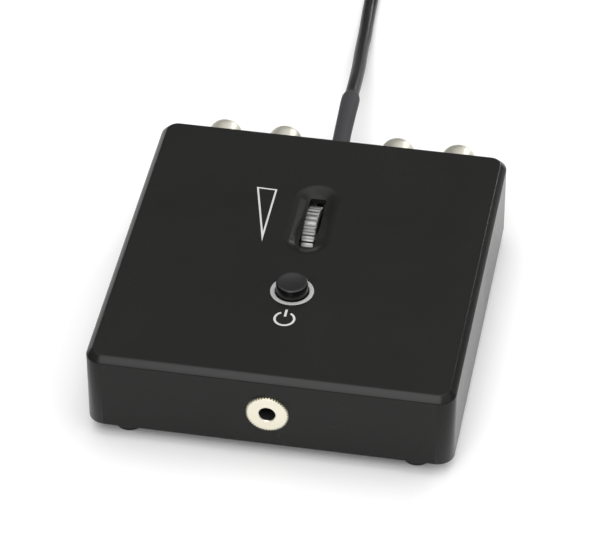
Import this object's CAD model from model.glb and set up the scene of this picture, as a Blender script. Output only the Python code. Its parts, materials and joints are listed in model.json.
import json
import math
import bmesh
import bpy
from mathutils import Matrix, Vector


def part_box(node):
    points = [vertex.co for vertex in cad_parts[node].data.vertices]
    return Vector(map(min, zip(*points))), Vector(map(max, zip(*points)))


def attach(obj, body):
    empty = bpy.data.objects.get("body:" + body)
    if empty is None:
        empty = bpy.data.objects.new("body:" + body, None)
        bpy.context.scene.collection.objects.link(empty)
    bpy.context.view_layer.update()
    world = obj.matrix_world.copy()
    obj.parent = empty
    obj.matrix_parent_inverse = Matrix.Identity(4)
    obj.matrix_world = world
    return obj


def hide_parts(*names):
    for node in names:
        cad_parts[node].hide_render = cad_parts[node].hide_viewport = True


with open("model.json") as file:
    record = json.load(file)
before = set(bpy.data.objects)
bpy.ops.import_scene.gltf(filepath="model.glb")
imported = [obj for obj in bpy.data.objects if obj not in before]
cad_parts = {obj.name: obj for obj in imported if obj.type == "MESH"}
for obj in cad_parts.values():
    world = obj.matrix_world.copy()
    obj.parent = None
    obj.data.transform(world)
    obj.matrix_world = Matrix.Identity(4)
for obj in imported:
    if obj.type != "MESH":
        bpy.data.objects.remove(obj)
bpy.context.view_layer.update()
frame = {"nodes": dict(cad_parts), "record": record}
nodes = frame["nodes"]
mm = 0.001
print("frame loaded,", len(nodes), "nodes")


# Small helpers

def boxOf(node):
    # lowest and highest corner of a node, in millimetres
    low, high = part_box(node)
    return low / mm, high / mm


def placeObject(name, data):
    thing = bpy.data.objects.new(name, data)
    bpy.context.scene.collection.objects.link(thing)
    return thing


def meshFrom(name, bm):
    mesh = bpy.data.meshes.new(name)
    bm.to_mesh(mesh)
    bm.free()
    return mesh


caseLow, caseHigh = boxOf("top_shell")
caseMidY = (caseLow.y + caseHigh.y) / 2
rearY = caseHigh.y
frontY = caseLow.y
topZ = caseHigh.z


# Camera

cameraFacts = {
    "lens": 209.9,  # mm, on a sensor 36 mm wide
    "turn": 10.48,  # degrees round the case from straight in front
    "rise": 40.22,  # degrees above the floor
    "roll": -0.24,  # degrees
    "distance": 782.55,  # mm from the middle of the case's underside
    "aside": -0.663,  # mm to the right of the line through it
    "above": 10.29,  # mm above that line
}


def makeCamera(facts):
    turn, rise, roll = (math.radians(facts[k]) for k in ("turn", "rise", "roll"))
    back = Vector((math.sin(turn) * math.cos(rise), -math.cos(turn) * math.cos(rise), math.sin(rise)))
    level = Vector((0, 0, 1)).cross(back).normalized()
    steep = back.cross(level)
    right = level * math.cos(roll) + steep * math.sin(roll)
    up = steep * math.cos(roll) - level * math.sin(roll)
    aim = Vector((0, caseMidY, caseLow.z))
    place = aim + back * facts["distance"] + right * facts["aside"] + up * facts["above"]
    data = bpy.data.cameras.new("camera")
    data.sensor_width = 36
    data.lens = facts["lens"]
    data.clip_start = 0.01
    data.clip_end = 50
    camera = placeObject("camera", data)
    camera.matrix_world = Matrix.Translation(place * mm) @ Matrix((right, up, back)).transposed().to_4x4()
    bpy.context.scene.camera = camera


makeCamera(cameraFacts)


# Shared shader groups

def newGroup(name, inputs, outputs):
    # a group whose sockets are all plain numbers
    tree = bpy.data.node_groups.new(name, "ShaderNodeTree")
    for label, value in inputs.items():
        socket = tree.interface.new_socket(label, in_out="INPUT", socket_type="NodeSocketFloat")
        socket.default_value = value
    for label in outputs:
        tree.interface.new_socket(label, in_out="OUTPUT", socket_type="NodeSocketFloat")
    return tree, tree.nodes.new("NodeGroupInput"), tree.nodes.new("NodeGroupOutput")


def addNode(tree, kind, values=None, **settings):
    node = tree.nodes.new("ShaderNode" + kind)
    for key, value in settings.items():
        setattr(node, key, value)
    for key, value in (values or {}).items():
        node.inputs[key].default_value = value
    return node


def mathNode(tree, operation, first, second, clamp=False):
    node = addNode(tree, "Math", operation=operation, use_clamp=clamp)
    for slot, value in enumerate((first, second)):
        if isinstance(value, (int, float)):
            node.inputs[slot].default_value = value
        else:
            tree.links.new(value, node.inputs[slot])
    return node.outputs[0]


def makeFineGrain():
    # even grain of a blasted, moulded or coated surface, coarse and fine together
    tree, inside, outside = newGroup("fineGrain", {"Scale": 9000, "Fineness": 3}, ["Shade", "Height"])
    place = addNode(tree, "TexCoord")
    coarse = addNode(tree, "TexNoise", {"Detail": 3, "Roughness": 0.6})
    fine = addNode(tree, "TexNoise", {"Detail": 2, "Roughness": 0.5})
    for noise in (coarse, fine):
        tree.links.new(place.outputs["Object"], noise.inputs["Vector"])
    tree.links.new(inside.outputs["Scale"], coarse.inputs["Scale"])
    finer = mathNode(tree, "MULTIPLY", inside.outputs["Scale"], inside.outputs["Fineness"])
    tree.links.new(finer, fine.inputs["Scale"])
    both = mathNode(tree, "ADD", coarse.outputs["Fac"], fine.outputs["Fac"])
    half = mathNode(tree, "MULTIPLY", both, 0.5)
    tree.links.new(half, outside.inputs["Height"])
    tree.links.new(mathNode(tree, "ADD", coarse.outputs["Fac"], 0.5, True), outside.inputs["Shade"])
    return tree


def makeSoftBlotches():
    # slow cloudy change over centimetres, as handling and uneven coating leave
    tree, inside, outside = newGroup("softBlotches", {"Scale": 40}, ["Mask"])
    place = addNode(tree, "TexCoord")
    cloud = addNode(tree, "TexNoise", {"Detail": 4, "Roughness": 0.55, "Distortion": 0.6})
    tree.links.new(place.outputs["Object"], cloud.inputs["Vector"])
    tree.links.new(inside.outputs["Scale"], cloud.inputs["Scale"])
    spread = addNode(tree, "MapRange", {"From Min": 0.3, "From Max": 0.7}, clamp=True)
    tree.links.new(cloud.outputs["Fac"], spread.inputs["Value"])
    tree.links.new(spread.outputs["Result"], outside.inputs["Mask"])
    return tree


def makeDustSpecks():
    # sparse pale specks
    tree, inside, outside = newGroup("dustSpecks", {"Scale": 900, "Amount": 0.04}, ["Mask"])
    place = addNode(tree, "TexCoord")
    cells = addNode(tree, "TexVoronoi")
    tree.links.new(place.outputs["Object"], cells.inputs["Vector"])
    tree.links.new(inside.outputs["Scale"], cells.inputs["Scale"])
    near = mathNode(tree, "LESS_THAN", cells.outputs["Distance"], inside.outputs["Amount"])
    tree.links.new(near, outside.inputs["Mask"])
    return tree


fineGrain = makeFineGrain()
softBlotches = makeSoftBlotches()
dustSpecks = makeDustSpecks()


def placeGroup(tree, group, values):
    node = tree.nodes.new("ShaderNodeGroup")
    node.node_tree = group
    for key, value in values.items():
        node.inputs[key].default_value = value
    return node


def blendColours(tree, mask, first, second):
    mix = addNode(tree, "Mix", data_type="RGBA")
    mix.inputs[6].default_value = (*first, 1)
    mix.inputs[7].default_value = (*second, 1)
    tree.links.new(mask, mix.inputs[0])
    return mix


def startMaterial(name, facts):
    material = bpy.data.materials.new(name)
    material.use_nodes = True
    shader = material.node_tree.nodes["Principled BSDF"]
    fixed = {
        "metallic": "Metallic", "specular": "Specular IOR Level", "coat": "Coat Weight",
        "scatter": "Subsurface Weight",
    }
    for key, socket in fixed.items():
        if key in facts:
            shader.inputs[socket].default_value = facts[key]
    if "scatter" in facts:
        shader.inputs["Subsurface Radius"].default_value = (1, 0.9, 0.8)
        shader.inputs["Subsurface Scale"].default_value = 0.8 * mm
    return material, material.node_tree, shader


def addRelief(tree, shader, shade, height, facts):
    # gloss that follows the shade, and a fine relief
    gloss = addNode(tree, "MapRange", {"To Min": facts["rough"][0], "To Max": facts["rough"][1]})
    tree.links.new(shade, gloss.inputs["Value"])
    tree.links.new(gloss.outputs["Result"], shader.inputs["Roughness"])
    bump = addNode(tree, "Bump", {"Strength": facts["bump"], "Distance": facts["depth"] * mm})
    tree.links.new(height, bump.inputs["Height"])
    tree.links.new(bump.outputs["Normal"], shader.inputs["Normal"])


def makeFinish(name, facts):
    # a surface of two close colours, with grain, uneven gloss and, where dust settles, pale specks
    material, tree, shader = startMaterial(name, facts)
    grain = placeGroup(tree, fineGrain, {"Scale": facts["grain"], "Fineness": 3})
    cloud = placeGroup(tree, softBlotches, {"Scale": facts.get("cloud", 60)})
    shade = mathNode(tree, "ADD", mathNode(tree, "MULTIPLY", grain.outputs["Shade"], 0.5),
                     mathNode(tree, "MULTIPLY", cloud.outputs["Mask"], 0.5))
    colour = blendColours(tree, shade, facts["dark"], facts["light"])
    if "dust" in facts:
        specks = placeGroup(tree, dustSpecks, {"Scale": facts["dustScale"], "Amount": facts["dust"]})
        clean = colour
        colour = blendColours(tree, specks.outputs["Mask"], facts["dark"], facts["dustColour"])
        tree.links.new(clean.outputs[2], colour.inputs[6])
    tree.links.new(colour.outputs[2], shader.inputs["Base Color"])
    addRelief(tree, shader, shade, grain.outputs["Height"], facts)
    return material


finishFacts = {
    "black_anodised": {
        "dark": (0.0085, 0.0087, 0.008), "light": (0.0112, 0.0115, 0.0106), "rough": (0.22, 0.28),
        "grain": 9000, "cloud": 45, "specular": 0.2, "bump": 0.2, "depth": 0.01, "dust": 0.02,
        "dustScale": 700, "dustColour": (0.2, 0.2, 0.19),
    },
    "black_paint": {
        "dark": (0.013, 0.0135, 0.0125), "light": (0.019, 0.0195, 0.0185), "rough": (0.42, 0.55),
        "grain": 5500, "specular": 0.35, "bump": 0.5, "depth": 0.03,
    },
    "zinc_screw": {
        "dark": (0.42, 0.43, 0.45), "light": (0.58, 0.59, 0.6), "rough": (0.25, 0.4), "metallic": 1,
        "grain": 4000, "bump": 0.3, "depth": 0.01,
    },
    "black_screw": {
        "dark": (0.045, 0.045, 0.046), "light": (0.075, 0.075, 0.077), "rough": (0.3, 0.42),
        "metallic": 0.9, "grain": 5000, "bump": 0.3, "depth": 0.01,
    },
    "rubber": {
        "dark": (0.009, 0.009, 0.009), "light": (0.016, 0.016, 0.016), "rough": (0.55, 0.72),
        "grain": 4000, "specular": 0.4, "bump": 0.4, "depth": 0.03,
    },
    "brass_spacer": {
        "dark": (0.56, 0.38, 0.13), "light": (0.7, 0.5, 0.2), "rough": (0.22, 0.36), "metallic": 1,
        "grain": 5000, "bump": 0.25, "depth": 0.01,
    },
    "black_plastic": {
        "dark": (0.012, 0.012, 0.0125), "light": (0.02, 0.02, 0.021), "rough": (0.36, 0.5), "grain": 6000,
        "specular": 0.5, "bump": 0.35, "depth": 0.015,
    },
    "nickel": {
        "dark": (0.6, 0.575, 0.5), "light": (0.74, 0.71, 0.63), "rough": (0.14, 0.24), "metallic": 1,
        "grain": 3500, "bump": 0.15, "depth": 0.006,
    },
    "satin_nickel": {
        "dark": (0.6, 0.58, 0.5), "light": (0.74, 0.72, 0.63), "rough": (0.4, 0.5), "metallic": 0.92,
        "grain": 5000, "bump": 0.25, "depth": 0.01,
    },
    "warm_nickel": {
        "dark": (0.74, 0.7, 0.56), "light": (0.86, 0.82, 0.68), "rough": (0.28, 0.4), "metallic": 1,
        "grain": 5000, "bump": 0.25, "depth": 0.01,
    },
    "white_insulator": {
        "dark": (0.72, 0.71, 0.67), "light": (0.82, 0.81, 0.77), "rough": (0.3, 0.42), "grain": 4500,
        "bump": 0.2, "depth": 0.01, "scatter": 0.1,
    },
    "red_insulator": {
        "dark": (0.33, 0.014, 0.011), "light": (0.44, 0.022, 0.016), "rough": (0.3, 0.42), "grain": 4500,
        "bump": 0.2, "depth": 0.01, "scatter": 0.05,
    },
    "gold_contact": {
        "dark": (0.68, 0.46, 0.15), "light": (0.84, 0.6, 0.24), "rough": (0.16, 0.28), "metallic": 1,
        "grain": 4500, "bump": 0.2, "depth": 0.008,
    },
    "frosted_ring": {
        "dark": (0.38, 0.38, 0.375), "light": (0.45, 0.45, 0.44), "rough": (0.4, 0.52), "grain": 7000,
        "bump": 0.3, "depth": 0.015, "scatter": 0.15, "specular": 0.4,
    },
    "lamp": {
        "dark": (0.7, 0.66, 0.46), "light": (0.82, 0.79, 0.6), "rough": (0.1, 0.2), "grain": 3000,
        "bump": 0.1, "depth": 0.006, "coat": 0.4,
    },
    "black_cap": {
        "dark": (0.0022, 0.0023, 0.0022), "light": (0.0036, 0.0037, 0.0036), "rough": (0.22, 0.3),
        "grain": 8000, "specular": 0.6, "bump": 0.15, "depth": 0.008,
    },
    "white_plastic": {
        "dark": (0.62, 0.61, 0.56), "light": (0.74, 0.73, 0.68), "rough": (0.34, 0.46), "grain": 4500,
        "bump": 0.25, "depth": 0.012,
    },
    "wheel_metal": {
        "dark": (0.08, 0.081, 0.078), "light": (0.26, 0.262, 0.252), "rough": (0.3, 0.42), "metallic": 1,
        "grain": 2600, "cloud": 420, "bump": 0.3, "depth": 0.012,
    },
    "steel": {
        "dark": (0.45, 0.45, 0.45), "light": (0.6, 0.6, 0.59), "rough": (0.2, 0.34), "metallic": 1,
        "grain": 4500, "bump": 0.2, "depth": 0.01,
    },
    "blue_plastic": {
        "dark": (0.02, 0.06, 0.16), "light": (0.035, 0.09, 0.23), "rough": (0.34, 0.48), "grain": 5000,
        "bump": 0.3, "depth": 0.015,
    },
    "red_film": {
        "dark": (0.3, 0.026, 0.018), "light": (0.4, 0.042, 0.03), "rough": (0.16, 0.28), "grain": 2500,
        "bump": 0.35, "depth": 0.04, "coat": 0.3,
    },
    "capacitor_sleeve": {
        "dark": (0.016, 0.018, 0.027), "light": (0.024, 0.027, 0.038), "rough": (0.18, 0.3),
        "grain": 3000, "bump": 0.2, "depth": 0.02, "coat": 0.2,
    },
    "resistor_body": {
        "dark": (0.035, 0.12, 0.21), "light": (0.06, 0.18, 0.28), "rough": (0.3, 0.45), "grain": 5000,
        "bump": 0.3, "depth": 0.015,
    },
    "relay_case": {
        "dark": (0.64, 0.62, 0.54), "light": (0.76, 0.74, 0.66), "rough": (0.22, 0.34), "grain": 4000,
        "bump": 0.2, "depth": 0.012,
    },
    "core_sheath": {
        "dark": (0.045, 0.008, 0.007), "light": (0.065, 0.012, 0.01), "rough": (0.4, 0.52), "grain": 3500,
        "bump": 0.25, "depth": 0.012,
    },
    "ground_sheath": {
        "dark": (0.075, 0.22, 0.022), "light": (0.12, 0.31, 0.04), "rough": (0.34, 0.46), "grain": 3500,
        "bump": 0.25, "depth": 0.012,
    },
    "cord_sheath": {
        "dark": (0.0055, 0.0055, 0.0058), "light": (0.009, 0.009, 0.0095), "rough": (0.32, 0.44),
        "grain": 3200, "cloud": 150, "specular": 0.35, "bump": 0.3, "depth": 0.02,
    },
    "sleeve_rubber": {
        "dark": (0.034, 0.034, 0.037), "light": (0.048, 0.048, 0.052), "rough": (0.56, 0.7),
        "grain": 3000, "specular": 0.25, "bump": 0.4, "depth": 0.03,
    },
    "printed_white": {
        "dark": (0.48, 0.49, 0.465), "light": (0.6, 0.61, 0.58), "rough": (0.5, 0.62), "grain": 9000,
        "bump": 0.2, "depth": 0.004,
    },
}


boardFacts = {
    "mask": (0.012, 0.085, 0.04),  # solder mask over bare board
    "trace": (0.03, 0.17, 0.075),  # the same over copper
    "solder": (0.55, 0.55, 0.52),
    "trackPitch": 420,  # tracks to the metre
    "trackShare": 0.38,
    "viaScale": 260,
    "viaSize": 0.14,
    "wanderScale": 55,
    "wanderStep": 0.08,
    "wander": 14,  # mm
    "rough": (0.34, 0.24),
    "bump": 0.6,
    "depth": 0.035,
}


def makeBoardFinish(facts):
    # solder mask with raised copper tracks and tinned through holes
    material, tree, shader = startMaterial("green_board", {"specular": 0.5, "coat": 0.25})
    place = addNode(tree, "TexCoord")
    wander = addNode(tree, "TexNoise", {"Scale": facts["wanderScale"], "Detail": 1})
    tree.links.new(place.outputs["Object"], wander.inputs["Vector"])
    parts = addNode(tree, "SeparateXYZ")
    tree.links.new(place.outputs["Object"], parts.inputs[0])
    stepped = mathNode(tree, "SNAP", wander.outputs["Fac"], facts["wanderStep"])
    drift = mathNode(tree, "MULTIPLY", stepped, facts["wander"] * mm)
    across = mathNode(tree, "MULTIPLY", mathNode(tree, "ADD", parts.outputs["X"], drift), facts["trackPitch"])
    beat = mathNode(tree, "PINGPONG", across, 1.0)
    track = mathNode(tree, "LESS_THAN", beat, facts["trackShare"])
    holes = addNode(tree, "TexVoronoi", {"Scale": facts["viaScale"]})
    tree.links.new(place.outputs["Object"], holes.inputs["Vector"])
    via = mathNode(tree, "LESS_THAN", holes.outputs["Distance"], facts["viaSize"])
    green = blendColours(tree, track, facts["mask"], facts["trace"])
    plated = blendColours(tree, via, facts["mask"], facts["solder"])
    tree.links.new(green.outputs[2], plated.inputs[6])
    tree.links.new(plated.outputs[2], shader.inputs["Base Color"])
    tree.links.new(via, shader.inputs["Metallic"])
    addRelief(tree, shader, track, track, facts)
    return material


finishes = {name: makeFinish(name, facts) for name, facts in finishFacts.items()}
finishes["green_board"] = makeBoardFinish(boardFacts)
print("finishes made,", len(finishes))


# Shaping helpers


def shadeMesh(mesh, sharp):
    mesh.shade_smooth()
    mesh.set_sharp_from_angle(angle=math.radians(sharp))


def addPiece(name, bm, finish, body, replaced=(), sharp=35):
    # turns a bmesh that is already in place into a piece that rides on a body
    mesh = meshFrom(name, bm)
    shadeMesh(mesh, sharp)
    piece = placeObject(name, mesh)
    mesh.materials.append(finishes[finish])
    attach(piece, body)
    if replaced:
        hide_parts(*replaced)
    return piece


layTurns = {
    "up": Matrix.Identity(4),
    "rear": Matrix.Rotation(math.radians(-90), 4, "X"),
    "front": Matrix.Rotation(math.radians(90), 4, "X"),
    "right": Matrix.Rotation(math.radians(90), 4, "Y"),
    "left": Matrix.Rotation(math.radians(-90), 4, "Y"),
}


def soften(bm, geom, size, segments, affect="EDGES"):
    bmesh.ops.bevel(bm, geom=geom, offset=size * mm, offset_type="OFFSET", segments=segments,
                    profile=0.5, affect=affect, material=-1, clamp_overlap=True)


def drawProfile(profile):
    # a line through points of (radius, height) in mm
    bm = bmesh.new()
    corners = [bm.verts.new((radius * mm, 0, height * mm)) for radius, height in profile]
    for first, second in zip(corners, corners[1:]):
        bm.edges.new((first, second))
    return bm, corners


def spinRound(bm, steps):
    bmesh.ops.spin(bm, geom=bm.verts[:] + bm.edges[:], cent=(0, 0, 0), axis=(0, 0, 1), angle=math.tau,
                   steps=steps, use_merge=True)
    bmesh.ops.remove_doubles(bm, verts=bm.verts, dist=1e-7)
    bmesh.ops.recalc_face_normals(bm, faces=bm.faces)


def turnedShape(profile, steps=64, rounding=0.0, segments=3):
    # spins a profile round Z. One that starts on the axis ends on it, any other is closed
    bm, corners = drawProfile(profile)
    if profile[0][0] > 0:
        bm.edges.new((corners[-1], corners[0]))
    if rounding:
        bends = []
        for v in bm.verts:
            if len(v.link_edges) != 2:
                continue
            first, second = (e.other_vert(v).co - v.co for e in v.link_edges)
            if math.pi - first.angle(second) > math.radians(25):
                bends.append(v)
        soften(bm, bends, rounding, segments, "VERTICES")
    spinRound(bm, steps)
    return bm


def layShape(bm, lay, at):
    bmesh.ops.transform(bm, matrix=Matrix.Translation(Vector(at) * mm) @ layTurns[lay], verts=bm.verts)
    return bm


def joinShapes(shapes):
    whole = shapes[0]
    for extra in shapes[1:]:
        mesh = meshFrom("extra", extra)
        whole.from_mesh(mesh)
        bpy.data.meshes.remove(mesh)
    return whole


def blockShape(low, high, upright=0.0, rounding=0.0, segments=3):
    # a block in mm. upright rounds its four vertical edges, rounding then softens the others
    bm = bmesh.new()
    low, high = Vector(low), Vector(high)
    bmesh.ops.create_cube(bm, size=1)
    bmesh.ops.scale(bm, vec=(high - low) * mm, verts=bm.verts)
    bmesh.ops.translate(bm, vec=(high + low) / 2 * mm, verts=bm.verts)
    if upright:
        edges = [e for e in bm.edges if (e.verts[0].co - e.verts[1].co).xy.length < 1e-8]
        soften(bm, edges, upright, 12)
    if rounding:
        edges = [e for e in bm.edges if e.is_manifold and e.calc_face_angle() > math.radians(40)]
        soften(bm, edges, rounding, segments)
    return bm


ridgeSteps = 8  # steps of a turned shape to each of its ridges


def ridgeRim(bm, count, depth, rim):
    # presses valleys into whatever lies further from Z than rim
    for v in bm.verts:
        away = v.co.xy.length / mm
        if away > rim:
            phase = math.sin(count * math.atan2(v.co.y, v.co.x))
            fall = min(1, max(0, 0.5 - 0.9 * phase)) * depth
            v.co.xy = v.co.xy * ((away - fall) / away)


mergeBelow = 0.0015  # mm, at the enlarged scale of a cut


def bakeModifiers(piece):
    bpy.context.view_layer.update()
    seen = piece.evaluated_get(bpy.context.evaluated_depsgraph_get())
    mesh = bpy.data.meshes.new_from_object(seen)
    piece.modifiers.clear()
    piece.data = mesh
    bm = bmesh.new()
    bm.from_mesh(mesh)
    bmesh.ops.remove_doubles(bm, verts=bm.verts, dist=mergeBelow)
    bmesh.ops.dissolve_degenerate(bm, edges=bm.edges, dist=mergeBelow)
    bm.to_mesh(mesh)
    bm.free()


def cutWith(piece, bm, operation="DIFFERENCE"):
    # the cut is made a thousand times enlarged, where the solver's tolerance is far below any detail
    mesh = meshFrom("cutter", bm)
    mesh.transform(Matrix.Scale(1 / mm, 4))
    piece.data.transform(Matrix.Scale(1 / mm, 4))
    cutter = placeObject("cutter", mesh)
    modifier = piece.modifiers.new("cut", "BOOLEAN")
    modifier.operation = operation
    modifier.solver = "EXACT"
    modifier.object = cutter
    bakeModifiers(piece)
    piece.data.transform(Matrix.Scale(mm, 4))
    bpy.data.objects.remove(cutter)
    bpy.data.meshes.remove(mesh)


# Lead, its stored coil and its plug

cordFacts = {
    "diameter": 3.4,
    "length": 1.18,  # m, from the rear wall to the plug
    "exit": (0, 37.6, 12.8),
    "lead": [
        (-0.3, 44, 12.8), (-0.6, 50, 12.8), (-0.8, 55, 12.7), (-1, 60, 12.4), (-1.2, 64, 11.85),
        (-1.4, 67.6, 11.2), (-1.7, 74, 9.9), (-2.1, 80, 8.4), (-2.6, 86, 6.8), (-3.2, 92, 5.3),
        (-3.7, 98, 3.9), (-4.1, 104, 2.8), (-4.6, 110, 2), (-5, 116, 1.7), (-5.3, 122, 1.7),
        (-5.6, 128, 1.7), (-5.8, 134, 1.75), (-5.9, 140, 1.95), (-6, 146, 2.2), (-6, 151.5, 2.4),
    ],
    "tail": [
        (14, 132.4, 6.25), (8.5, 132.4, 6.2), (3.5, 132.3, 6), (-1.5, 132.2, 5.7), (-6, 132.1, 5.5),
        (-10.5, 132, 5.1), (-15, 132, 4.6), (-19, 132, 4.3), (-22.5, 132, 4.2), (-26, 132, 4.2),
    ],
    "coilMiddle": (22.6, 160, 2.4),
    "coilOuter": 28.6,
    "coilInner": 13.2,
    "coilStep": 3.85,
    "turnsInLayer": 4,
    "turns": 7.75,
    "stepsInTurn": 16,
}


def climbShare(x):
    x = min(1, max(0, x))
    return x * x * (3 - 2 * x)


def coilPoint(facts, turn):
    # two layers: inwards on the floor, then outwards on top, with the climb round the reversal
    low = facts["turnsInLayer"]
    if turn < low:
        radius = facts["coilOuter"] - facts["coilStep"] * turn
    else:
        radius = facts["coilInner"] + facts["coilStep"] * (turn - low)
    angle = math.pi - math.tau * turn
    middleX, middleY, middleZ = facts["coilMiddle"]
    rise = facts["coilStep"] * climbShare((turn - low + 0.25) * 2)
    return (middleX + radius * math.cos(angle), middleY + radius * math.sin(angle), middleZ + rise)


def curvePiece(name, points, radii, resolution=3, sides=4):
    # a round tube along a smooth line. radii are the tube's radius in mm at each point
    data = bpy.data.curves.new(name, "CURVE")
    data.dimensions = "3D"
    data.resolution_u = data.render_resolution_u = resolution
    data.bevel_depth = mm
    data.bevel_resolution = sides
    data.use_fill_caps = True
    spline = data.splines.new("BEZIER")
    spline.bezier_points.add(len(points) - 1)
    for knot, place, radius in zip(spline.bezier_points, points, radii):
        knot.co = Vector(place) * mm
        knot.handle_left_type = knot.handle_right_type = "AUTO"
        knot.radius = radius
    return placeObject(name, data)


def makeCord(facts):
    steps = int(facts["turns"] * facts["stepsInTurn"])
    coil = [coilPoint(facts, i / facts["stepsInTurn"]) for i in range(steps + 1)]
    points = [facts["exit"], *facts["lead"], *coil, *facts["tail"]]
    cord = curvePiece("supply_cord", points, [facts["diameter"] / 2] * len(points))
    cord.data.materials.append(finishes["cord_sheath"])
    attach(cord, "case")
    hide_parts("cord_lead", "cord_coil", "cord_tail")
    print("cord is", round(cord.data.splines[0].calc_length(), 4), "m long")
    return cord


reliefFacts = {
    # along the middle line of the lead, with the sleeve's radius at each point
    "points": [
        (0, 29, 12.8, 2.3), (0, 34, 12.8, 2.3), (0, 38.2, 12.8, 2.25), (-0.3, 44, 12.8, 2.12),
        (-0.6, 50, 12.8, 2.06), (-0.8, 55, 12.7, 2.1), (-1, 60, 12.4, 2.16), (-1.2, 64, 11.85, 2.22),
        (-1.28, 65.8, 11.55, 2.2), (-1.33, 66.7, 11.38, 2.1), (-1.37, 67.3, 11.27, 1.94),
        (-1.4, 67.6, 11.2, 1.74),
    ],
}


def makeRelief(facts):
    places = [p[:3] for p in facts["points"]]
    relief = curvePiece("lead_sleeve", places, [p[3] for p in facts["points"]], resolution=4, sides=6)
    relief.data.materials.append(finishes["sleeve_rubber"])
    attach(relief, "case")
    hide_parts("strain_relief")
    return relief


tieFacts = {"thick": 0.6, "corner": 1.8, "edge": 0.14, "buckle": (6.2, 6.4, 2.2), "buckleSunk": 0.1}


def makeTie(facts):
    # a strap bent round the bundle, with its buckle on the outer side
    low, high = boxOf("cord_tie")
    bm = blockShape(low, high)
    along = [e for e in bm.edges if abs(e.verts[0].co.y - e.verts[1].co.y) > 1e-6]
    soften(bm, along, facts["corner"], 5)
    ends = [f for f in bm.faces if abs(f.normal.y) > 0.9]
    bmesh.ops.delete(bm, geom=ends, context="FACES_ONLY")
    bmesh.ops.recalc_face_normals(bm, faces=bm.faces)
    bmesh.ops.solidify(bm, geom=bm.faces[:], thickness=facts["thick"] * mm)
    bmesh.ops.recalc_face_normals(bm, faces=bm.faces)
    rims = [e for e in bm.edges if e.is_manifold and e.calc_face_angle() > math.radians(60)]
    soften(bm, rims, facts["edge"], 2)
    wide, deep, tall = facts["buckle"]
    middle = (low + high) / 2
    base = high.z - facts["thick"] - facts["buckleSunk"]
    buckle = blockShape(
        (middle.x - wide / 2, middle.y - deep / 2, base),
        (middle.x + wide / 2, middle.y + deep / 2, base + tall), rounding=0.45,
    )
    return addPiece("cord_strap", joinShapes([bm, buckle]), "black_plastic", "case", ["cord_tie"])


plugFacts = {
    "at": (-26, 132, 4.2),
    "boot": 10,
    "ribs": 5,
    "ribDeep": 0.38,
    "ribGrowth": 0.09,
    "grip": 14,
    "gripRadius": 4.2,
    "grooves": 4,
    "grooveDeep": 0.3,
    "barrel": 9.5,
    "barrelRadius": 2.75,
}


def gripProfile(facts):
    # moulded body with a ribbed boot and a grooved grip, drawn along Z from the lead's end
    boot, end, radius = facts["boot"], facts["boot"] + facts["grip"], facts["gripRadius"]
    profile = [(0, 0.02), (1.85, 0.02), (2.25, 0.5)]
    pitch = (boot - 2.2) / facts["ribs"]
    for i in range(facts["ribs"]):
        start = 0.7 + i * pitch
        crest = 2.3 + facts["ribGrowth"] * i
        root = crest - facts["ribDeep"]
        profile += [(crest, start), (crest, start + 0.6 * pitch), (root, start + 0.68 * pitch),
                    (root, start + 0.92 * pitch)]
    profile += [(3.2, boot - 0.7), (radius - 0.35, boot + 0.2), (radius, boot + 1.1)]
    step = (facts["grip"] - 5.2) / facts["grooves"]
    floor = radius - facts["grooveDeep"]
    for i in range(facts["grooves"]):
        start = boot + 2.6 + i * step
        profile += [(radius, start), (floor, start + 0.25), (floor, start + 0.75), (radius, start + 1)]
    return profile + [(radius, end - 1), (radius - 0.7, end), (0, end)]


def makePlug(facts):
    grip = turnedShape(gripProfile(facts), 48, rounding=0.12, segments=2)
    body = addPiece("plug_grip", layShape(grip, "left", facts["at"]), "cord_sheath", "case", ["plug_body"])
    long, wide = facts["barrel"], facts["barrelRadius"]
    shell = turnedShape([(0, 0), (wide, 0), (wide, long - 0.35), (wide - 0.35, long), (2.0, long),
                         (1.9, long - 0.25), (1.9, 0.8), (0, 0.8)], 48, rounding=0.08, segments=2)
    tip = Vector(facts["at"]) - Vector((facts["boot"] + facts["grip"], 0, 0))
    barrel = addPiece("plug_sleeve", layShape(shell, "left", tip), "nickel", "case", ["plug_barrel"])
    face = long - 0.25
    core = turnedShape([(0, 0.85), (1.85, 0.85), (1.85, face), (1.05, face), (1.05, 1.5), (0, 1.5)],
                       40, rounding=0.08, segments=2)
    insert = addPiece("plug_core", layShape(core, "left", tip), "black_plastic", "case", ["plug_insert"])
    return [body, barrel, insert]


cord = makeCord(cordFacts)
relief = makeRelief(reliefFacts)
tie = makeTie(tieFacts)
plugPieces = makePlug(plugFacts)
print("lead, coil, tie and plug made")


# Case

caseFacts = {
    "cornerRadius": 3.8,
    "edgeBevel": 1.4,
    "edgeSoft": 0.14,  # rounding where the bevel meets its neighbours
    "wall": 2.5,
    "top": 2.2,
    "plateInset": 1.2,
    "plateThick": 1.5,
    "postX": 34.6,
    "postY": 26.5,
    "postRadius": 3.2,
    "tapRadius": 1.25,
    "hollowWide": 9.0,
    "hollowLong": 23.1,
    "hollowDeep": 1.1,
    "hollowFloor": 4.2,
    "hollowY": 7.2,
    "rimSoft": 0.8,
    "slotWide": 3.6,
    "slotLong": 16.9,
    "slotCorner": 0.6,
    "ringHole": 4.85,
    "buttonY": -17.65,
    "socketZ": 12.8,
    "phonoX": (-27.5, -13.3, 13.3, 27.5),
    "phonoHole": 4.5,
    "headphoneHole": 3.1,
    "leadHole": 3.3,
    "groundHole": 1.52,
    "groundAt": (5.75, 9.1),  # across and up
    "tapDeep": 10.5,
    "postFoot": 0.5,  # posts stand this far above the lower edge
}


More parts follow.
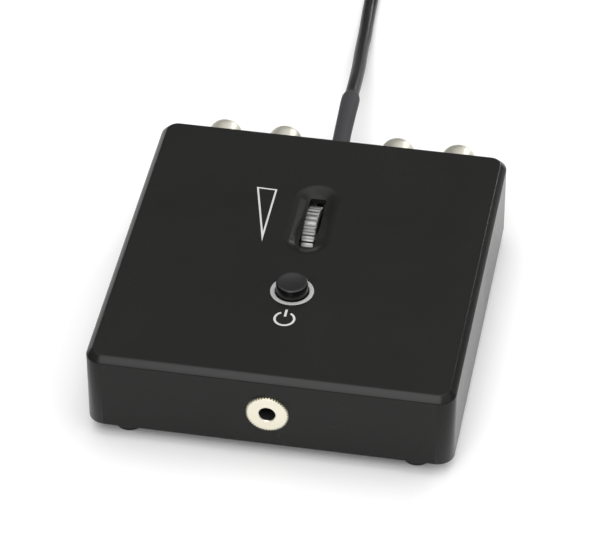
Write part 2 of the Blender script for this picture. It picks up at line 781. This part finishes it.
def pullApart(bm, run):
    # opens a turned shape at its middle and pulls the halves apart along Y
    for v in bm.verts:
        if abs(v.co.y) > 1e-8:
            v.co.y += math.copysign(run / 2 * mm, v.co.y)


def hollowCutter(facts):
    # finger hollow with a flat floor, sloped sides and soft edges
    floor = facts["hollowFloor"] / 2
    edge = facts["hollowWide"] / 2
    deep = facts["hollowDeep"]
    profile = [(0, -deep), (floor, -deep), (edge, 0.003), (edge + 2, 0.003), (edge + 2, 2), (0, 2)]
    bm, corners = drawProfile(profile)
    soften(bm, corners[1:3], facts["rimSoft"], 5, "VERTICES")
    steps = 72
    bmesh.ops.rotate(bm, verts=bm.verts, cent=(0, 0, 0), matrix=Matrix.Rotation(math.pi / steps, 3, "Z"))
    spinRound(bm, steps)
    pullApart(bm, facts["hollowLong"] - facts["hollowWide"])
    return layShape(bm, "up", (0, facts["hollowY"], topZ))


def rodShape(radius, start, end, lay, at, steps=48):
    bm = turnedShape([(0, start), (radius, start), (radius, end), (0, end)], steps)
    return layShape(bm, lay, at)


def outerCase(facts):
    # the block with its rounded corners and bevelled top
    bm = blockShape(caseLow, caseHigh, upright=facts["cornerRadius"])
    rim = [e for e in bm.edges if all(abs(v.co.z - topZ * mm) < 1e-7 for v in e.verts)]
    soften(bm, rim, facts["edgeBevel"], 1)
    levels = (topZ, topZ - facts["edgeBevel"], caseLow.z)
    soft = [e for e in bm.edges if any(all(abs(v.co.z - z * mm) < 1e-7 for v in e.verts) for z in levels)]
    soften(bm, soft, facts["edgeSoft"], 2)
    return bm


def cutInside(case, facts, ceiling):
    # the cavity, four posts with their screw holes, and the rebate for the base plate
    low, high = caseLow, caseHigh
    wall, inset = facts["wall"], facts["plateInset"]
    cutWith(case, blockShape((low.x + wall, low.y + wall, low.z - 1), (high.x - wall, high.y - wall, ceiling),
                             upright=facts["cornerRadius"] - wall))
    foot = low.z + facts["postFoot"]
    for sideX in (-1, 1):
        for sideY in (-1, 1):
            at = (sideX * facts["postX"], caseMidY + sideY * facts["postY"], 0)
            cutWith(case, rodShape(facts["postRadius"], foot, ceiling + 0.4, "up", at), "UNION")
            cutWith(case, rodShape(facts["tapRadius"], low.z - 1, low.z + facts["tapDeep"], "up", at, 24))
    cutWith(case, blockShape((low.x + inset, low.y + inset, low.z - 1),
                             (high.x - inset, high.y - inset, low.z + facts["plateThick"]),
                             upright=facts["cornerRadius"] - inset))


def cutTop(case, facts, ceiling):
    cutWith(case, hollowCutter(facts))
    halfWide, halfLong, y = facts["slotWide"] / 2, facts["slotLong"] / 2, facts["hollowY"]
    cutWith(case, blockShape((-halfWide, y - halfLong, ceiling - 1), (halfWide, y + halfLong, topZ + 1),
                             upright=facts["slotCorner"]))
    cutWith(case, rodShape(facts["ringHole"], ceiling - 1, topZ + 1, "up", (0, facts["buttonY"], 0), 72))


def cutWalls(case, facts):
    wall, height = facts["wall"], facts["socketZ"]
    cutWith(case, rodShape(facts["headphoneHole"], -1, wall + 1, "rear", (0, frontY, height)))
    for x in facts["phonoX"]:
        cutWith(case, rodShape(facts["phonoHole"], -wall - 1, 1, "rear", (x, rearY, height)))
    cutWith(case, rodShape(facts["leadHole"], -wall - 1, 1, "rear", (0, rearY, height)))
    groundX, groundZ = facts["groundAt"]
    cutWith(case, rodShape(facts["groundHole"], -wall - 1, 1, "rear", (groundX, rearY, groundZ), 32))


def makeCase(facts):
    case = addPiece("case_top", outerCase(facts), "black_anodised", "case", ["top_shell"])
    ceiling = topZ - facts["top"]
    cutInside(case, facts, ceiling)
    cutTop(case, facts, ceiling)
    cutWalls(case, facts)
    flattenBroadFaces(case.data, 25)
    return case


def flattenBroadFaces(mesh, area):
    # flat faces over this many square mm stay flat, so that the soft edges beside them shade cleanly
    shadeMesh(mesh, 32)
    for face in mesh.polygons:
        if face.area > area * mm * mm and not isCurved(face):
            face.use_smooth = False


def isCurved(face):
    # the upright corners are strips that face neither straight ahead nor straight aside
    return max(abs(x) for x in face.normal) < 0.999


case = makeCase(caseFacts)
print("case made,", len(case.data.polygons), "faces")


# Printed marks on the top

markFacts = {
    "lift": 0.012,
    "powerMiddle": (0.05, -27.1),
    "powerRadius": 2.13,
    "stroke": 0.52,
    "powerGap": 58,  # degrees left open at the rear
    "bar": ((-0.24, -26.35), (0.3, -24.05)),
    "wedge": ((-14.3, 16.35), (-9.6, 16.25), (-9.6, -2.35)),
    "wedgeLine": 0.42,
}


def raiseMark(bm, lift):
    # gives a flat mark the thickness of a layer of ink
    made = bmesh.ops.extrude_face_region(bm, geom=bm.faces[:])
    lifted = [v for v in made["geom"] if isinstance(v, bmesh.types.BMVert)]
    bmesh.ops.translate(bm, vec=(0, 0, lift * mm), verts=lifted)
    bmesh.ops.recalc_face_normals(bm, faces=bm.faces)
    return bm


def makePowerMark(facts):
    middle = Vector((*facts["powerMiddle"], topZ)) * mm
    gap = math.radians(facts["powerGap"])
    bm = bmesh.new()
    start = math.pi / 2 + gap / 2
    aim = Vector((math.cos(start), math.sin(start), 0))
    halfStroke = facts["stroke"] / 2
    radii = (facts["powerRadius"] - halfStroke, facts["powerRadius"] + halfStroke)
    edge = [bm.verts.new(middle + aim * radius * mm) for radius in radii]
    line = bm.edges.new(edge)
    bmesh.ops.spin(bm, geom=[*edge, line], cent=middle, axis=(0, 0, 1), angle=math.tau - gap, steps=56,
                   use_merge=False)
    (leftX, nearY), (rightX, farY) = facts["bar"]
    bar = blockShape((leftX, nearY, topZ), (rightX, farY, topZ + facts["lift"]))
    symbol = joinShapes([raiseMark(bm, facts["lift"]), bar])
    addPiece("power_mark", symbol, "printed_white", "case")


def makeVolumeMark(facts):
    bm = bmesh.new()
    face = bm.faces.new([bm.verts.new((x * mm, y * mm, topZ * mm)) for x, y in facts["wedge"]])
    bm.normal_update()
    bmesh.ops.inset_region(bm, faces=[face], thickness=facts["wedgeLine"] * mm, use_even_offset=True,
                           use_boundary=True)
    bmesh.ops.delete(bm, geom=[face], context="FACES")
    addPiece("volume_mark", raiseMark(bm, facts["lift"]), "printed_white", "case")


makePowerMark(markFacts)
makeVolumeMark(markFacts)
print("printed marks made")


# Button and light ring

buttonFacts = {"edge": 0.3, "dish": 0.12, "dishWide": 0.84, "socket": 2.42, "socketTop": 21.15}


def makeButton(facts):
    low, high = boxOf("power_button")
    radius = (high.x - low.x) / 2
    top = high.z
    edge, socket, socketTop = facts["edge"], facts["socket"], facts["socketTop"]
    dish = [(radius * facts["dishWide"] * i / 6, top - facts["dish"] * (1 - (i / 6) ** 2)) for i in range(7)]
    turns = [math.radians(15 * i) for i in range(7)]
    rim = [(radius - edge + edge * math.sin(a), top - edge * (1 - math.cos(a))) for a in turns]
    profile = dish + rim + [(radius, low.z), (socket, low.z), (socket, socketTop), (0, socketTop)]
    bm = layShape(turnedShape(profile, 72), "up", (0, caseFacts["buttonY"], 0))
    addPiece("button_cap", bm, "black_cap", "button", ["power_button"], sharp=40)


ringFacts = {
    "radius": 4.8, "bore": 3.8, "deep": 4, "flange": 0.9, "flangeHigh": 20.15, "flangeThick": 1.1,
    "legWide": 3, "legThick": 0.8, "legInset": 0.45,
}


def makeRing(facts):
    low, high = boxOf("light_ring")
    outer, inner = facts["radius"], facts["bore"]
    top = high.z
    bottom = top - facts["deep"]
    shoulder = facts["flangeHigh"]
    profile = [
        (inner, bottom), (outer, bottom), (outer, shoulder - facts["flangeThick"]),
        (outer + facts["flange"], shoulder - facts["flangeThick"]), (outer + facts["flange"], shoulder),
        (outer, shoulder), (outer, top), (inner, top),
    ]
    y = caseFacts["buttonY"]
    ring = layShape(turnedShape(profile, 96, rounding=0.14), "up", (0, y, 0))
    legs = []
    halfThick, halfWide, legTop = facts["legThick"] / 2, facts["legWide"] / 2, bottom + 0.3
    for x in (facts["legInset"] - outer, outer - facts["legInset"]):
        legs.append(blockShape((x - halfThick, y - halfWide, low.z), (x + halfThick, y + halfWide, legTop),
                               rounding=0.12))
    addPiece("glow_ring", joinShapes([ring, *legs]), "frosted_ring", "case", ["light_ring"])


makeButton(buttonFacts)
makeRing(ringFacts)
print("button and ring made")


# Volume wheel

wheelFacts = {
    "axis": (0, 7.2, 14.65),
    "radius": 8.9,
    "wide": 3.1,
    "ridges": 36,
    "ridgeDeep": 0.24,
    "bevel": 0.35,
    "rimThick": 1.6,
    "web": 1.6,
    "hub": 3.4,
    "bore": 2.01,
}


def makeWheel(facts):
    radius, wide, bevel = facts["radius"], facts["wide"], facts["bevel"]
    groove = (wide - facts["web"]) / 2
    inner = radius - facts["rimThick"]
    half = [(facts["bore"], 0), (facts["hub"], 0), (facts["hub"], groove), (inner, groove), (inner, 0),
            (radius - bevel, 0), (radius - 0.1, 0.12), (radius, bevel)]
    other = [(r, wide - z) for r, z in reversed(half)]
    bm = turnedShape(half + other, facts["ridges"] * ridgeSteps, rounding=0.08, segments=2)
    ridgeRim(bm, facts["ridges"], facts["ridgeDeep"], radius - 0.2)
    x, y, z = facts["axis"]
    layShape(bm, "right", (x - wide / 2, y, z))
    addPiece("thumb_wheel", bm, "wheel_metal", "wheel", ["volume_wheel"], sharp=28)


makeWheel(wheelFacts)
print("wheel made")


# Headphone socket

nutFacts = {
    "teeth": 44, "toothDeep": 0.36, "radius": 4.65, "proud": 0.6, "lip": 0.25, "hole": 1.82, "bush": 3.0,
    "bushBore": 1.8, "edge": 0.12,
}


def makeHeadphoneSocket(facts):
    radius, proud, lip = facts["radius"], facts["proud"], facts["lip"]
    bush, bore = facts["bush"], facts["bushBore"]
    back = bush + 0.05
    hole, soft = facts["hole"], facts["edge"]
    profile = [
        (back, 0), (radius, 0), (radius, proud - soft), (radius - soft, proud), (hole + soft, proud),
        (hole, proud - soft), (hole, proud - lip), (back, proud - lip),
    ]
    bm = turnedShape(profile, facts["teeth"] * ridgeSteps)
    ridgeRim(bm, facts["teeth"], facts["toothDeep"], radius - 0.14)
    layShape(bm, "front", (0, frontY, caseFacts["socketZ"]))
    addPiece("knurled_nut", bm, "warm_nickel", "case", ["headphone_nut"], sharp=40)
    low, high = boxOf("headphone_bushing")
    long = high.y - low.y
    tube = turnedShape([(bore, 0), (bush, 0), (bush, long), (bore, long)], 64, rounding=0.12)
    layShape(tube, "rear", (0, low.y, caseFacts["socketZ"]))
    addPiece("jack_bushing", tube, "black_plastic", "case", ["headphone_bushing"])


makeHeadphoneSocket(nutFacts)


# Phono sockets

phonoFacts = {"radius": 4.15, "tip": 3.1, "nose": 2.9, "bore": 2.75, "shank": 3.75}
socketNames = {
    "input_left_shell": "phono_in_left", "input_right_shell": "phono_in_right",
    "output_left_shell": "phono_out_left", "output_right_shell": "phono_out_right",
}


def makePhonoShells(facts):
    radius, tip, bore = facts["radius"], facts["tip"], facts["bore"]
    bends = [math.radians(9 * i) for i in range(10)]
    for (node, name), x in zip(socketNames.items(), caseFacts["phonoX"]):
        low, high = boxOf(node)
        long = high.y - low.y
        face = rearY - low.y
        nose = [(tip + (radius - tip) * math.cos(a), long - facts["nose"] + facts["nose"] * math.sin(a))
                for a in bends]
        profile = [
            (bore, 0), (facts["shank"], 0), (facts["shank"], face), (radius, face), *nose,
            (bore + 0.08, long), (bore, long - 0.1),
        ]
        bm = layShape(turnedShape(profile, 72), "rear", (x, low.y, caseFacts["socketZ"]))
        addPiece(name, bm, "satin_nickel", "case", [node], sharp=30)


def makeTubes(name, node, places, facts, finish):
    # a row of round cups, open at the rear
    low, high = boxOf(node)
    long = high.y - low.y
    outer, inner, floor = facts["radius"], facts["bore"], facts["floor"]
    shapes = []
    for x in places:
        bm = turnedShape([(0, 0), (outer, 0), (outer, long), (inner, long), (inner, floor), (0, floor)],
                         48, facts["rounding"], segments=2)
        shapes.append(layShape(bm, "rear", (x, low.y, caseFacts["socketZ"])))
    return addPiece(name, joinShapes(shapes), finish, "case", [node])


sleeveFacts = {"radius": 2.7, "bore": 2.05, "floor": 1, "rounding": 0.12}
contactFacts = {"radius": 2.0, "bore": 1.65, "floor": 1.2, "rounding": 0.06, "slit": 0.32, "slitDeep": 4.5}


def makeContacts(facts):
    # springy centre contacts, each end split in four
    contacts = makeTubes("centre_contacts", "socket_contacts", caseFacts["phonoX"], facts, "gold_contact")
    tip, z = boxOf("socket_contacts")[1].y, caseFacts["socketZ"]
    for x in caseFacts["phonoX"]:
        for wide, tall in ((facts["slit"], 5), (5, facts["slit"])):
            cutWith(contacts, blockShape((x - wide / 2, tip - facts["slitDeep"], z - tall / 2),
                                         (x + wide / 2, tip + 1, z + tall / 2)))
    shadeMesh(contacts.data, 35)


makePhonoShells(phonoFacts)
leftX = [caseFacts["phonoX"][0], caseFacts["phonoX"][2]]
rightX = [caseFacts["phonoX"][1], caseFacts["phonoX"][3]]
makeTubes("white_sleeves", "left_insulators", leftX, sleeveFacts, "white_insulator")
makeTubes("red_sleeves", "right_insulators", rightX, sleeveFacts, "red_insulator")
makeContacts(contactFacts)
print("sockets made")


# Rear: grommet and ground terminal

grommetFacts = {"hole": 2.5, "neck": 3.25, "flange": 3.8, "inner": 4, "thick": 0.9, "gap": 0.05}


def makeGrommet(facts):
    hole, neck, flange, inner = (facts[k] for k in ("hole", "neck", "flange", "inner"))
    wall, thick, gap = caseFacts["wall"], facts["thick"], facts["gap"]
    face = wall + gap
    profile = [
        (hole, -thick), (inner, -thick), (inner, -gap), (neck, -gap), (neck, face), (flange, face),
        (flange - 0.6, face + thick), (hole, face + thick),
    ]
    bm = turnedShape(profile, 64, rounding=0.18)
    layShape(bm, "rear", (0, rearY - wall, caseFacts["socketZ"]))
    addPiece("lead_grommet", bm, "rubber", "case", ["cable_grommet"])


groundFacts = {
    "stud": 1.48, "pitch": 0.5, "threadDeep": 0.17, "bore": 1.54, "washer": 3.0, "washerThick": 0.6,
    "nut": 3.1, "nutBore": 1.53, "nutThick": 3.2, "ridges": 24, "ridgeDeep": 0.2,
}


def studProfile(facts, long):
    # the thread is drawn as separate rings at its pitch
    crest, root = facts["stud"], facts["stud"] - facts["threadDeep"]
    profile = [(0, 0), (root, 0)]
    for i in range(int((long - 0.8) / facts["pitch"])):
        start = 0.3 + i * facts["pitch"]
        profile += [(root, start), (crest, start + 0.2), (crest, start + 0.28), (root, start + 0.46)]
    return profile + [(root, long - 0.3), (root - 0.25, long), (0, long)]


def makeGroundTerminal(facts):
    x, z = caseFacts["groundAt"]
    low, high = boxOf("ground_stud")
    bm = layShape(turnedShape(studProfile(facts, high.y - low.y), 40), "rear", (x, low.y, z))
    addPiece("terminal_stud", bm, "nickel", "case", ["ground_stud"], sharp=25)
    low, high = boxOf("ground_washer")
    bore, edge, thick = facts["bore"], facts["washer"], facts["washerThick"]
    ring = turnedShape([(bore, 0), (edge, 0), (edge, thick), (bore, thick)], 56, rounding=0.1)
    layShape(ring, "rear", (x, low.y, z))
    addPiece("terminal_washer", ring, "nickel", "washer", ["ground_washer"])
    low, high = boxOf("ground_nut")
    bore, radius, thick = facts["nutBore"], facts["nut"], facts["nutThick"]
    profile = [
        (bore, 0), (radius - 0.2, 0), (radius, 0.2), (radius, thick - 0.75), (radius - 0.3, thick - 0.6),
        (radius - 0.75, thick), (bore + 0.22, thick), (bore, thick - 0.2),
    ]
    nut = turnedShape(profile, facts["ridges"] * ridgeSteps)
    ridgeRim(nut, facts["ridges"], facts["ridgeDeep"], radius - 0.1)
    layShape(nut, "rear", (x, low.y, z))
    addPiece("thumb_nut", nut, "warm_nickel", "nut", ["ground_nut"], sharp=40)


makeGrommet(grommetFacts)
makeGroundTerminal(groundFacts)


# Feet

feetFacts = {"radius": 3.95, "sole": 2.6}


def makeFeet(facts):
    low, high = boxOf("rubber_feet")
    tall = high.z - low.z
    radius, sole = facts["radius"], facts["sole"]
    profile = [
        (0, 0), (sole, 0), (sole + 0.5, 0.3), (radius - 0.25, 2.6), (radius, tall - 0.1), (radius, tall),
        (0, tall),
    ]
    shapes = []
    for x in (low.x + radius, high.x - radius):
        for y in (low.y + radius, high.y - radius):
            foot = turnedShape(profile, 48, rounding=0.25, segments=4)
            shapes.append(layShape(foot, "up", (x, y, low.z)))
    addPiece("soft_feet", joinShapes(shapes), "rubber", "case", ["rubber_feet"])


makeFeet(feetFacts)
print("rear and feet made")


# Finishes of the parts that keep their shape

def dressNodes():
    for row in frame["record"]["subparts"]:
        node = nodes[row["node"]]
        if node.hide_render:
            continue
        node.data.materials.clear()
        node.data.materials.append(finishes[row["material_slot"]])


dressNodes()
print("remaining parts dressed")


# Floor and light

stageFacts = {
    "floorColour": ((0.85, 0.85, 0.85), (0.88, 0.88, 0.88)),
    "floorShown": (0.99, 0.99, 0.99),  # what the camera and mirrors see
    "floorRough": 0.8,
    "floorGrain": 700,
    "floorSize": 14,  # m
    # height of the sky above the horizon (0 to 1) and its brightness there
    "sky": ((0, 0.08), (0.35, 0.12), (0.5, 0.28), (0.72, 0.3), (0.86, 0.6), (0.95, 0.9)),
    # lamp: degrees to the left of straight ahead, degrees above the floor, strength, degrees across
    "lamps": {
        "frontBox": (2, 48, 1.4, 38), "topBox": (150, 80, 0.62, 60), "rightBox": (-75, 50, 0.6, 60),
        "rearBox": (-170, 62, 0.2, 40), "rearLamp": (-155, 18, 0.63, 14),
    },
}


def makeFloor(facts):
    bm = bmesh.new()
    bmesh.ops.create_grid(bm, x_segments=2, y_segments=2, size=facts["floorSize"] / 2)
    mesh = meshFrom("floor", bm)
    floor = placeObject("floor", mesh)
    material, tree, shader = startMaterial("floor_card", {"specular": 0.2})
    grain = placeGroup(tree, fineGrain, {"Scale": facts["floorGrain"], "Fineness": 3})
    card = blendColours(tree, grain.outputs["Shade"], *facts["floorColour"])
    path = addNode(tree, "LightPath")
    seen = mathNode(tree, "MAXIMUM", path.outputs["Is Camera Ray"], path.outputs["Is Glossy Ray"])
    seen = mathNode(tree, "MAXIMUM", seen, path.outputs["Is Transmission Ray"])
    colour = blendColours(tree, seen, facts["floorShown"], facts["floorShown"])
    tree.links.new(card.outputs[2], colour.inputs[6])
    tree.links.new(colour.outputs[2], shader.inputs["Base Color"])
    shader.inputs["Roughness"].default_value = facts["floorRough"]
    mesh.materials.append(material)


def makeSky(facts):
    world = bpy.data.worlds.new("studio")
    bpy.context.scene.world = world
    world.use_nodes = True
    tree = world.node_tree
    place = addNode(tree, "TexCoord")
    parts = addNode(tree, "SeparateXYZ")
    ramp = addNode(tree, "ValToRGB")
    while len(ramp.color_ramp.elements) < len(facts["sky"]):
        ramp.color_ramp.elements.new(0.5)
    for stop, (height, glow) in zip(ramp.color_ramp.elements, facts["sky"]):
        stop.position = height
        stop.color = (glow, glow, glow, 1)
    tree.links.new(place.outputs["Generated"], parts.inputs[0])
    tree.links.new(parts.outputs["Z"], ramp.inputs[0])
    tree.links.new(ramp.outputs[0], tree.nodes["Background"].inputs["Color"])


def makeLamps(facts):
    for name, (left, rise, strength, across) in facts["lamps"].items():
        data = bpy.data.lights.new(name, "SUN")
        data.energy = strength
        data.angle = math.radians(across)
        lamp = placeObject(name, data)
        left, rise = math.radians(left), math.radians(rise)
        towards = Vector((-math.sin(left) * math.cos(rise), -math.cos(left) * math.cos(rise), math.sin(rise)))
        lamp.matrix_world = towards.to_track_quat("Z", "Y").to_matrix().to_4x4()


makeFloor(stageFacts)
makeSky(stageFacts)
makeLamps(stageFacts)
bpy.context.scene.view_settings.view_transform = "Standard"
print("floor and light made")
